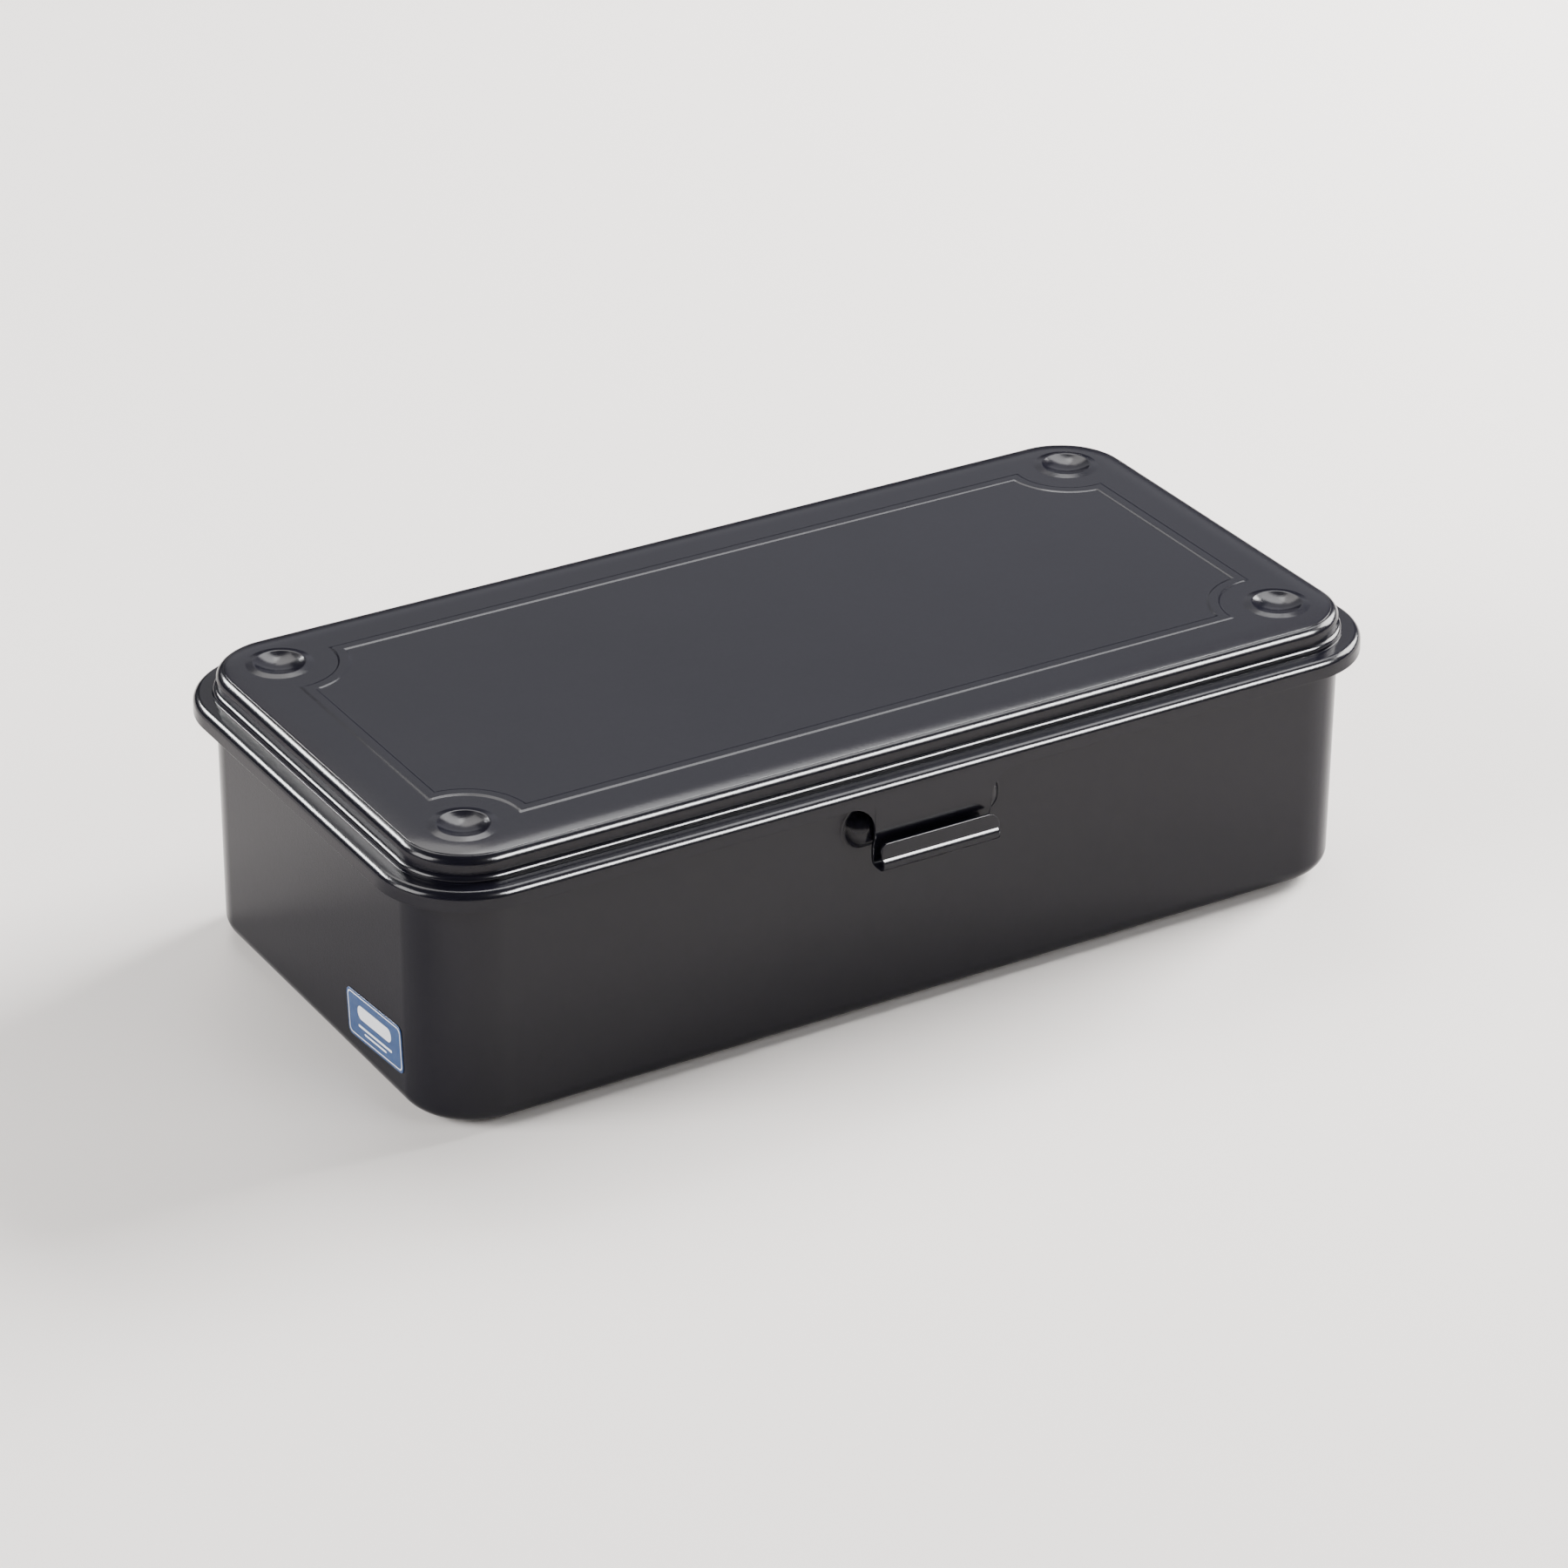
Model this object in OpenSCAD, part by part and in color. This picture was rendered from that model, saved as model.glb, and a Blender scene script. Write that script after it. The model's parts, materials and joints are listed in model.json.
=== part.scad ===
// Small pressed-steel storage box: a drawn tray, a hinged drawn lid with a curled pull tab at the front,
// stacking dimples on top and matching pressed feet below.
// X runs along the length, the front is -Y, and Z = 0 is the surface that the feet stand on.
// The origin is under the middle of the whole footprint, pull tab and hinges included.

/* [Sheet] */
// Thickness of the steel of both shells
sheet = 0.6; // [0.4:0.1:0.8]

/* [Tray] */
// Outside length of the tray wall
body_l = 194.6; // [150:0.1:260]
// Outside width of the tray wall
body_w = 95.1; // [76:0.1:130]
// Plan radius of the tray's corners
body_r = 13.4; // [11:0.1:18]
// Height of the rim above the tray's underside
body_h = 47.9; // [38:0.1:70]
// Radius along the bottom edge
bottom_r = 3.3; // [2:0.1:5]
// Gap between the rim flange and the inside of the lid's skirt
flange_gap = 0.9; // [0.5:0.1:1.4]
// Bend radius under the flange
flange_r = 0.6; // [0.3:0.1:1]

/* [Feet and stacking dimples] */
// Distance from the tray wall to the middle of a foot and of the dimple above it
stack_inset = 12.2; // [11.5:0.1:15]
// Diameter of a pressed foot where it leaves the underside
foot_d = 8.0; // [6:0.1:8.2]
// Height of a foot
foot_h = 1.2; // [0.6:0.1:1.6]
// Flat rim round a foot, inside its pressing
foot_rim = 0.6; // [0.4:0.1:1]
// Diameter of the raised ring of a dimple
ring_d = 12.2; // [11.6:0.1:13]
// Height of that ring above the top
ring_h = 0.45; // [0.2:0.05:0.8]
// Flat rim round the ring
ring_rim = 0.4; // [0.2:0.1:0.6]
// Side gap round a foot that sits in a dimple's bowl
foot_gap = 0.4; // [0.3:0.1:0.6]
// Depth of the bowl under its ring
bowl_h = 1.3; // [1:0.1:1.8]

/* [Lid] */
// Overhang of the skirt outside the tray wall
overhang = 4.2; // [3.8:0.1:6]
// Height of the skirt below the ledge
skirt_h = 3.5; // [3:0.1:5]
// Radius of the skirt's shoulder
skirt_shoulder_r = 1.5; // [1:0.1:1.8]
// Gap between the tray rim and the lid that rests on it
seat_gap = 0.1; // [0.05:0.05:0.3]
// Inset of the step at the foot of the raised top
step_inset = 3.6; // [2.8:0.1:3.8]
// Height of that step above the ledge
step_h = 1.4; // [1:0.1:2]
// Edge radius of that step
step_r = 0.45; // [0.3:0.05:0.6]
// Inset of the raised top from the skirt
top_inset = 4.4; // [4.3:0.1:5]
// Height of the raised top's edge above the ledge
top_h = 4.9; // [4:0.1:6]
// Shoulder radius of the raised top
top_shoulder_r = 1.75; // [1:0.05:2.4]
// Slope at which the crowned top meets its shoulder
crown_slope = 15; // [8:1:18]
// Flat margin between the crown and a dimple's rim
crown_margin = 0.2; // [0.1:0.1:0.5]

/* [Raised frame on the lid] */
// Width of the frame band
frame_w = 2.8; // [2:0.1:4]
// Height of the frame band
frame_h = 0.4; // [0.2:0.1:0.6]
// Gap between a dimple's ring and the frame's scalloped corner
scallop_gap = 4.2; // [3:0.1:6]

/* [Pull tab] */
// Width of the tab
tab_w = 24.4; // [18:0.1:40]
// Height from the skirt's lower edge down to where the tab starts to curl
tab_h = 6.2; // [5:0.1:10]
// Radius where the tab runs into the skirt
tab_fillet_r = 5; // [2:0.5:6]
// Outside radius of the curl
curl_r = 2.42; // [2:0.02:3]
// How far the curl bulges behind the tab's front face
curl_back = 1.05; // [0.8:0.05:1.2]
// Height of the curl's bend above its middle, up to where the tab is straight
curl_ease = 3.4; // [2.5:0.1:5]
// Height of the free lip above the middle of the curl
lip_h = 3.4; // [2:0.1:4]
// Lean of the lip towards the tab
lip_lean = 0.45; // [0:0.05:1]

/* [Catch bead] */
// Half length of the bead pressed out of the front wall
bead_half = 16.6; // [12:0.1:24]
// Height of the bead
bead_tall = 8; // [6:0.1:9]
// Gap between the bead's crest and the back of the curl
snap_gap = 0.15; // [0.05:0.05:0.5]

/* [Hinges] */
// Distance of each hinge from the middle of the box
hinge_x = 62; // [40:1:68]
// Radius of the hinge pin
pin_r = 0.8; // [0.6:0.05:1]
// Running clearance of the lid's knuckle round the pin
pin_clearance = 0.05; // [0.02:0.01:0.1]
// Gap between the skirt's lower edge and the tray's knuckles
hinge_gap = 0.85; // [0.8:0.05:2]
// Width of the lid's knuckle
knuckle_w = 10; // [8:0.5:14]
// Width of each of the tray's knuckles
side_knuckle_w = 6; // [4:0.5:8]
// Side gap between knuckles
knuckle_gap = 0.3; // [0.2:0.05:0.5]
// Thickness of the hinge leaf
leaf_t = 0.8; // [0.6:0.1:1]
// Least gap between the leaf and the lid's knuckle
leaf_gap = 0.3; // [0.2:0.05:0.5]
// Length of the leaf below the pin
leaf_h = 12; // [9:0.5:16]
// Gap between the lid's knuckle and the stop ledge below it
stop_gap = 0.75; // [0.6:0.05:1]
// Reach of the stop ledge behind the pin
stop_reach = 1.9; // [1.4:0.1:2.2]
// Radius of a rivet's shank
rivet_r = 1; // [0.8:0.1:1.2]
// Radius of a rivet's head
rivet_head_r = 1.7; // [1.6:0.1:2.2]
// Height of a rivet's head
rivet_head_h = 0.7; // [0.5:0.1:1]
// Distance of each rivet from the middle of its leaf
rivet_x = 7; // [5:0.5:8]

/* [Label] */
// Length of the label
label_l = 21; // [12:0.5:26]
// Height of the label
label_h = 9.2; // [6:0.1:14]
// Thickness of the label
label_t = 0.15; // [0.1:0.05:0.3]
// Corner radius of the label
label_r = 0.9; // [0.5:0.1:2]
// Distance of the label's middle from the front wall
label_y = 24.1; // [22:0.1:40]
// Height of the label's middle above the tray's underside
label_z = 10.4; // [8:0.1:30]
// Tilt of the label, front end up
label_tilt = 4.4; // [0:0.1:6]

/* [Hidden] */
$fn = 64;
arc_steps = 6;
// How far the tab's wide root runs up into the flat of the skirt
tab_root = 1;
paint = [0.16, 0.16, 0.17];
steel = [0.72, 0.73, 0.75];
blue = [0.16, 0.33, 0.65];

// Plan of the lid's skirt
skirt_l = body_l + 2 * overhang;
skirt_w = body_w + 2 * overhang;
skirt_r = body_r + overhang;

// Heights above the tray's underside
ledge_z = body_h + seat_gap + sheet;
skirt_z = ledge_z - skirt_h;
step_z = ledge_z + step_h;
top_edge_z = ledge_z + top_h;
shoulder_end = [
    top_inset + top_shoulder_r * (1 - sin(crown_slope)),
    top_edge_z - top_shoulder_r * (1 - cos(crown_slope))
];
crown_end = overhang + stack_inset - ring_d / 2 - ring_rim - crown_margin;
crown_r = (crown_end - shoulder_end[0]) / sin(crown_slope);
top_z = shoulder_end[1] + crown_r * (1 - cos(crown_slope));

flange_w = overhang - sheet - flange_gap;

// Middles of the feet and dimples, and the frame between them
bowl_d = foot_d + 2 * foot_gap;
frame_inset = stack_inset - frame_w / 2;
scallop_r = ring_d / 2 + scallop_gap;
stack_x = body_l / 2 - stack_inset;
stack_y = body_w / 2 - stack_inset;

// Pull tab and catch bead, in the section across the front
tab_y = -skirt_w / 2;
curl_y = tab_y + curl_back - curl_r;
tab_end_z = skirt_z - tab_h;
curl_z = tab_end_z - curl_ease;
bead_z = curl_z + curl_ease;
bead_out = overhang - curl_back - snap_gap;
front_reach = curl_r - curl_y;

// Hinges, in the section across the back
knuckle_r = pin_r + pin_clearance + sheet;
side_knuckle_r = pin_r + leaf_t;
pin_y = max(skirt_w / 2 - knuckle_r, body_w / 2 + leaf_t + leaf_gap + knuckle_r);
pin_z = skirt_z - hinge_gap - side_knuckle_r;
leaf_w = knuckle_w + 2 * (knuckle_gap + side_knuckle_w);
stop_drop = knuckle_r + stop_gap;
rivet_z = pin_z - leaf_h + rivet_head_r + 1.5;
rear_reach = max(skirt_w / 2, pin_y + stop_reach);

shell_y = (front_reach - rear_reach) / 2;

// Points of a bend about c with radius r, from angle a to angle b; first = 1 leaves out the point at a
function bend(c, r, a, b, first = 0) =
    [for (i = [first : arc_steps]) c + r * [cos(a + (b - a) * i / arc_steps), sin(a + (b - a) * i / arc_steps)]];

// Unit normal, on the left of the step from p to q
function left_of(p, q) = [p[1] - q[1], q[0] - p[0]] / norm(q - p);

// The line moved sideways by d at point i, mitred where it turns
function moved(line, i, d) =
    let (last = len(line) - 1)
    let (before = left_of(line[max(i - 1, 0)], line[max(i, 1)]))
    let (after = left_of(line[min(i, last - 1)], line[min(i + 1, last)]))
    line[i] + d * (before + after) / (1 + before * after);

// Outline of a sheet of thickness d that lies on the left of the line
function sheet_along(line, d) =
    concat(line, [for (i = [len(line) - 1 : -1 : 0]) moved(line, i, d)]);

// Tray wall from the bottom plate to the flange, as inset from the wall and height
body_line = concat(
    bend([bottom_r, bottom_r], bottom_r, 270, 180),
    bend([-flange_r, body_h - sheet - flange_r], flange_r, 0, 90),
    [[-flange_w, body_h - sheet]]
);

// Lid from the skirt's lower edge to the crowned top, as inset from the skirt and height
lid_line = concat(
    [[0, skirt_z]],
    bend([skirt_shoulder_r, ledge_z - skirt_shoulder_r], skirt_shoulder_r, 180, 90),
    [[step_inset, ledge_z]],
    bend([step_inset + step_r, step_z - step_r], step_r, 180, 90),
    [[top_inset, step_z]],
    bend([top_inset + top_shoulder_r, top_edge_z - top_shoulder_r], top_shoulder_r, 180, 90 + crown_slope),
    bend([crown_end, top_z - crown_r], crown_r, 90 + crown_slope, 90, 1)
);

// Tab from its straight face down round the curl and up the lip, as y and height
tab_line = concat(
    [[tab_y, skirt_z - tab_fillet_r], [tab_y, tab_end_z]],
    bend([curl_y, curl_z], curl_r - sheet, 0, -90),
    bend([curl_y, curl_z], curl_r - sheet, -90, -180, 1),
    [[curl_y - curl_r + sheet + lip_lean, curl_z + lip_h]]
);

module in_frame() {
    translate([0, shell_y, foot_h]) children();
}

module rounded(l, w, r) {
    square([l, w - 2 * r], center = true);
    square([l - 2 * r, w], center = true);
    for (x = [-1, 1], y = [-1, 1]) translate([x * (l / 2 - r), y * (w / 2 - r)]) circle(r);
}

// Sweeps a section, given as inset and height, round a rounded rectangle
module around(l, w, r, section) {
    outline = [for (p = section) [r - p[0], p[1]]];
    for (quarter = [0 : 3]) {
        along = quarter % 2 == 0 ? l : w;
        across = quarter % 2 == 0 ? w : l;
        rotate([0, 0, 90 * quarter]) {
            translate([along / 2 - r, across / 2 - r, 0]) rotate_extrude(angle = 90) polygon(outline);
            translate([along / 2 - r, 0, 0]) rotate([90, 0, 0])
                linear_extrude(across - 2 * r, center = true) polygon(outline);
        }
    }
}

module at_corners() {
    for (x = [-1, 1], y = [-1, 1]) translate([x * stack_x, y * stack_y, 0]) children();
}

// A foot pressed down out of the tray's bottom
module foot() {
    half = foot_d / 2;
    flat = half - foot_h;
    line = concat(
        [[half + foot_rim, 0]],
        bend([flat, 0], foot_h, 0, -90),
        [[0, -foot_h]]
    );
    rotate_extrude() polygon(sheet_along(line, -sheet));
}

// A dimple pressed into the lid: a raised ring round a bowl
module dimple() {
    outer = ring_d / 2;
    inner = bowl_d / 2;
    crest = inner + 0.5;
    line = [
        [outer + ring_rim, 0], [outer, 0], [crest + 0.3, ring_h], [crest, ring_h],
        [inner, ring_h / 2], [inner * 0.86, ring_h - bowl_h * 0.7], [inner * 0.5, ring_h - bowl_h], [0, ring_h - bowl_h]
    ];
    rotate_extrude() polygon(sheet_along(line, sheet));
}

// Plan of one edge of the raised frame, with a scallop round each dimple
module scalloped(edge, cut) {
    difference() {
        square([body_l - 2 * (frame_inset + edge), body_w - 2 * (frame_inset + edge)], center = true);
        at_corners() circle(cut);
    }
}

module front_tab() {
    rotate([90, 0, 90]) linear_extrude(tab_w, center = true) polygon(sheet_along(tab_line, sheet));
    root_w = tab_w + 2 * tab_fillet_r;
    translate([0, tab_y + sheet, skirt_z]) rotate([90, 0, 0]) linear_extrude(sheet) difference() {
        translate([-root_w / 2, -tab_fillet_r]) square([root_w, tab_fillet_r + tab_root]);
        for (side = [-1, 1]) translate([side * root_w / 2, -tab_fillet_r]) circle(tab_fillet_r);
    }
}

// A knuckle of the lid, curled inwards from a tab below the skirt
module lid_knuckle() {
    translate([-knuckle_w / 2, 0, 0]) difference() {
        union() {
            translate([0, skirt_w / 2 - sheet, pin_z]) cube([knuckle_w, sheet, skirt_z - pin_z]);
            translate([0, pin_y, pin_z]) rotate([0, 90, 0]) cylinder(knuckle_w, knuckle_r, knuckle_r);
        }
        translate([-1, pin_y, pin_z]) rotate([0, 90, 0]) cylinder(knuckle_w + 2, r = pin_r + pin_clearance);
    }
}

// The bead is a stretched dome: a long round-ended ridge that fades into the wall
module catch_bead(grow) {
    half = bead_tall / 2;
    dome_r = (half * half + bead_out * bead_out) / (2 * bead_out);
    straight = bead_half - half;
    translate([0, -body_w / 2 + dome_r - bead_out, bead_z]) intersection() {
        union() {
            rotate([0, 90, 0]) cylinder(2 * straight, r = dome_r + grow, center = true);
            for (side = [-1, 1]) translate([side * straight, 0, 0]) sphere(dome_r + grow);
        }
        translate([-bead_half - 2, -2 * dome_r, -half - 2])
            cube([2 * bead_half + 4, dome_r + bead_out + sheet / 2 - grow, bead_tall + 4]);
    }
}

module rivet_places(side) {
    for (x = [-1, 1]) translate([side * hinge_x + x * rivet_x, body_w / 2, rivet_z]) rotate([-90, 0, 0]) children();
}

module body_shell() {
    color(paint) in_frame() difference() {
        union() {
            around(body_l, body_w, body_r, sheet_along(body_line, -sheet));
            difference() {
                linear_extrude(sheet) rounded(body_l - 2 * bottom_r, body_w - 2 * bottom_r, body_r - bottom_r);
                at_corners() translate([0, 0, -1]) cylinder(2, r = foot_d / 2 + foot_rim);
            }
            at_corners() foot();
            catch_bead(0);
        }
        catch_bead(-sheet);
        for (side = [-1, 1]) rivet_places(side) translate([0, 0, -2]) cylinder(4, r = rivet_r);
    }
}

module lid_shell() {
    color(paint) in_frame() {
        difference() {
            union() {
                around(skirt_l, skirt_w, skirt_r, sheet_along(lid_line, -sheet));
                translate([0, 0, top_z - sheet]) linear_extrude(sheet)
                    rounded(skirt_l - 2 * crown_end, skirt_w - 2 * crown_end, skirt_r - crown_end);
                translate([0, 0, top_z - sheet]) linear_extrude(sheet + frame_h) difference() {
                    scalloped(0, scallop_r);
                    scalloped(frame_w, scallop_r + frame_w);
                }
            }
            at_corners() translate([0, 0, top_z - 2]) cylinder(4, r = ring_d / 2 + ring_rim);
        }
        at_corners() translate([0, 0, top_z]) dimple();
        front_tab();
        for (side = [-1, 1]) translate([side * hinge_x, 0, 0]) lid_knuckle();
    }
}

// Leaf on the back wall, with a knuckle each side of the lid's and a folded ledge that stops the lid
module hinge_leaf(side) {
    wall_y = body_w / 2;
    color(paint) in_frame() difference() {
        translate([side * hinge_x, 0, 0]) difference() {
            union() {
                translate([-leaf_w / 2, wall_y, pin_z - leaf_h]) cube([leaf_w, leaf_t, leaf_h + side_knuckle_r]);
                for (x = [-leaf_w / 2, leaf_w / 2 - side_knuckle_w]) translate([x, 0, 0]) {
                    translate([0, wall_y, pin_z - side_knuckle_r])
                        cube([side_knuckle_w, pin_y - wall_y, side_knuckle_r]);
                    translate([0, pin_y, pin_z]) rotate([0, 90, 0]) cylinder(side_knuckle_w, r = side_knuckle_r);
                }
                translate([-knuckle_w / 2, wall_y, pin_z - stop_drop - leaf_t])
                    cube([knuckle_w, pin_y + stop_reach - wall_y, leaf_t]);
            }
            translate([-leaf_w / 2 - 1, pin_y, pin_z]) rotate([0, 90, 0]) cylinder(leaf_w + 2, r = pin_r);
        }
        rivet_places(side) translate([0, 0, -1]) cylinder(leaf_t + 2, r = rivet_r);
    }
}

module hinge_pin(side) {
    pin_l = leaf_w + 1;
    color(steel) in_frame() translate([side * hinge_x - pin_l / 2, pin_y, pin_z])
        rotate([0, 90, 0]) cylinder(pin_l, r = pin_r);
}

// Two rivets for each leaf, closed on the inside of the wall
module hinge_rivets() {
    color(steel) in_frame() for (side = [-1, 1]) rivet_places(side) {
        translate([0, 0, -sheet]) cylinder(sheet + leaf_t, r = rivet_r);
        translate([0, 0, leaf_t]) cylinder(rivet_head_h, rivet_head_r, rivet_head_r * 0.7);
        translate([0, 0, -sheet - rivet_head_h]) cylinder(rivet_head_h, rivet_head_r * 0.7, rivet_head_r);
    }
}

module side_label() {
    color(blue) in_frame() translate([-body_l / 2, -body_w / 2 + label_y, label_z]) rotate([-label_tilt, 0, 0])
        rotate([0, -90, 0]) rotate([0, 0, 90]) linear_extrude(label_t) rounded(label_l, label_h, label_r);
}

body_shell();
lid_shell();
hinge_leaf(-1);  // left_hinge_leaf
hinge_leaf(1);  // right_hinge_leaf
hinge_pin(-1);  // left_hinge_pin
hinge_pin(1);  // right_hinge_pin
hinge_rivets();
side_label();
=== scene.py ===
import json
from math import asin, atan2, copysign, cos, degrees, hypot, pi, radians, sin, sqrt

import bmesh
import bpy
from mathutils import Matrix, Vector


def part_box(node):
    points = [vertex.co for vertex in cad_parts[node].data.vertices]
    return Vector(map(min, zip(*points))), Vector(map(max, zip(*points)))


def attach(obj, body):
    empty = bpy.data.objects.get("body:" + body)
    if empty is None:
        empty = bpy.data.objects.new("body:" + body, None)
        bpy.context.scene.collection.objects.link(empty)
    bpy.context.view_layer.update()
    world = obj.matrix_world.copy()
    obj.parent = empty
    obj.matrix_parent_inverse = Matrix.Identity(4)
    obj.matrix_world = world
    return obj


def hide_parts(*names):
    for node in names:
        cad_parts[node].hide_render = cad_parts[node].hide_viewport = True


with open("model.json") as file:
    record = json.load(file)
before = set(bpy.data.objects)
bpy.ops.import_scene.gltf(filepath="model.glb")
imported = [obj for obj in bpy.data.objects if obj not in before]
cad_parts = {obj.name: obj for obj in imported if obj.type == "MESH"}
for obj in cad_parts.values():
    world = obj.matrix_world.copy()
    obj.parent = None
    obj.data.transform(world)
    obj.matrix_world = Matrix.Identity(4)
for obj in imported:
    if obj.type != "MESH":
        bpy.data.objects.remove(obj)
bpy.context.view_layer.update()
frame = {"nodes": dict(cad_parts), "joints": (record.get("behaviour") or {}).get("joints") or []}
mm = 0.001  # pieces are drawn in millimetres and scaled to metres at the end
near = 0.001  # places closer than this, in millimetres, count as one
flatNear = 0.0005  # the same for cuts and for flat ground
weldSection = 0.002  # verts this close are merged while a section is turned
weldPiece = 0.003  # and while a piece is finished
print("frame loaded:", len(frame["nodes"]), "CAD nodes")


def same(one, other):
    return abs(one - other) < near


def boxOf(node):
    # where a CAD piece is, in millimetres
    low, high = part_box(node)
    return low / mm, high / mm


trayHigh = boxOf("body_shell")[1]
lidHigh = boxOf("lid_shell")[1]
labelLow, labelHigh = boxOf("side_label")
pinAt = Vector(frame["joints"][0]["pos_m"]) / mm

# sizes that the lid and the tray share, measured from the middle of the tray's underside
shell = {
    "sheet": 0.6,
    "rimHeight": 47.9,
    "overhang": 4.2,
    "cornerRadius": 13.4,
    "flangeReach": 2.7,
    "wallHalfW": 47.55,
    "stackInset": 12.2,
    "arcStep": 5,
}
sheet = shell["sheet"]
skirtHalfL = lidHigh.x
skirtHalfW = shell["wallHalfW"] + shell["overhang"]
wallHalfL = skirtHalfL - shell["overhang"]
wallHalfW = shell["wallHalfW"]
stackX = wallHalfL - shell["stackInset"]
stackY = wallHalfW - shell["stackInset"]
shellAt = Vector((0, trayHigh.y - wallHalfW - shell["flangeReach"], trayHigh.z - shell["rimHeight"]))
pinY = pinAt.y - shellAt.y
pinZ = pinAt.z - shellAt.z


# camera, lamps and sky
view = {
    "target": (-7.4, -10.9, 31.2),
    "azimuth": 31.08,
    "elevation": 28.06,
    "roll": 0.38,
    "distance": 1004.1,
    "lens": 126.23,
    "sensor": 36,
    "reach": 20,
}


def addCamera():
    data = bpy.data.cameras.new("camera")
    data.lens = view["lens"]
    data.sensor_width = view["sensor"]
    data.clip_end = view["reach"]
    camera = bpy.data.objects.new("camera", data)
    bpy.context.scene.collection.objects.link(camera)
    turn = (
        Matrix.Rotation(-radians(view["azimuth"]), 4, "Z")
        @ Matrix.Rotation(radians(90 - view["elevation"]), 4, "X")
        @ Matrix.Rotation(radians(view["roll"]), 4, "Z")
    )
    back = turn @ Vector((0, 0, view["distance"]))
    camera.matrix_world = Matrix.Translation((Vector(view["target"]) + back) * mm) @ turn
    bpy.context.scene.camera = camera
    print("the camera is", round(view["distance"]), "mm away, as fitted to the photo")


# the soft lamps light everything; the streak lamps only show as lines along the painted bends
lamps = {
    "right": {"to": (0.9, 0.1, 0.45), "size": (0.8, 0.7), "watts": 104, "tint": (1, 0.985, 0.97)},
    "left": {"to": (-0.9, 0.1, 0.45), "size": (0.8, 0.7), "watts": 36, "tint": (1, 0.985, 0.97)},
    "front": {"to": (0.456, -0.737, 0.5), "size": (0.9, 0.5), "watts": 11, "tint": (1, 0.99, 0.98)},
    "back": {"to": (0.1, 0.6, 0.8), "size": (0.7, 0.7), "watts": 13, "tint": (1, 0.98, 0.96)},
    "lowBack": {
        "to": (0.456, 0.756, 0.47), "away": 1.8, "size": (1.2, 0.8), "watts": 4.6, "tint": (0.97, 0.97, 1)
    },
}
streaks = {
    "frontStreak": {"to": (0.456, -0.639, 0.619), "size": (0.9, 0.45), "watts": 215, "tint": (1, 1, 1)},
    "leftStreak": {"to": (-0.39, 0.756, 0.526), "size": (0.9, 0.2), "watts": 95, "tint": (1, 1, 1)},
    "backStreak": {"to": (0.456, 0.33, 0.83), "size": (0.9, 0.6), "watts": 23, "tint": (1, 1, 1)},
}
studio = {
    "lampsAway": 1.5,
    "lampsLookAt": (0, 0, 0.03),
    "sky": (1.0, 0.98, 0.96),
    "skyStrength": 0.04,
    "floorWidth": 6.0,
    "floorColour": (0.83, 0.80, 0.78),
    "floorRoughness": (0.6, 0.7),
    "floorPatches": 8.0,
}


def addLamps():
    for name, lamp in {**lamps, **streaks}.items():
        data = bpy.data.lights.new(name, "AREA")
        data.shape = "RECTANGLE"
        data.size, data.size_y = lamp["size"]
        data.energy = lamp["watts"]
        data.color = lamp["tint"]
        light = bpy.data.objects.new(name, data)
        bpy.context.scene.collection.objects.link(light)
        way = Vector(lamp["to"]).normalized()
        light.location = way * lamp.get("away", studio["lampsAway"]) + Vector(studio["lampsLookAt"])
        light.rotation_euler = way.to_track_quat("Z", "Y").to_euler()
        if name in streaks:  # no light on matt things, and none passed on from bend to bend
            light.visible_diffuse = False
            data.cycles.max_bounces = 0
    world = bpy.data.worlds.new("studio")
    world.use_nodes = True
    sky = world.node_tree.nodes["Background"]
    sky.inputs["Color"].default_value = (*studio["sky"], 1)
    sky.inputs["Strength"].default_value = studio["skyStrength"]
    bpy.context.scene.world = world
    print("lamps and sky are set:", len(lamps) + len(streaks), "lamps")


# shader groups, each built once and placed with its own values
def newGroup(name, inputs, outputs):
    group = bpy.data.node_groups.new(name, "ShaderNodeTree")
    for socket, value in inputs.items():
        kind = "NodeSocketVector" if value is None else "NodeSocketFloat"
        if isinstance(value, tuple):
            kind = "NodeSocketColor"
        made = group.interface.new_socket(name=socket, in_out="INPUT", socket_type=kind)
        if value is not None:
            made.default_value = value
    for socket, kind in outputs.items():
        group.interface.new_socket(name=socket, in_out="OUTPUT", socket_type=kind)
    ins = group.nodes.new("NodeGroupInput")
    outs = group.nodes.new("NodeGroupOutput")
    return group, ins.outputs, outs.inputs


def feed(tree, socket, source):
    # a socket gets a link from another node's output, or a plain value
    if isinstance(source, bpy.types.NodeSocket):
        tree.links.new(source, socket)
    else:
        socket.default_value = source


def addNode(tree, kind, sources=(), **settings):
    # sources go into the node's sockets, settings are its own properties
    node = tree.nodes.new(kind)
    for key, value in settings.items():
        setattr(node, key, value)
    for socket, source in dict(sources).items():
        feed(tree, node.inputs[socket], source)
    return node


def reckon(tree, operation, *numbers):
    return addNode(tree, "ShaderNodeMath", dict(enumerate(numbers)), operation=operation).outputs[0]


def cloudy(tree, where, scale, detail):
    sources = {"Vector": where, "Scale": scale, "Detail": detail}
    return addNode(tree, "ShaderNodeTexNoise", sources).outputs["Fac"]


grain = {
    "fineDetail": 2.5,
    "broadScale": 0.22,
    "broadDetail": 1.0,
    "patchDetail": 4.0,
    "patchRange": (0.3, 0.7),
}


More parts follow.
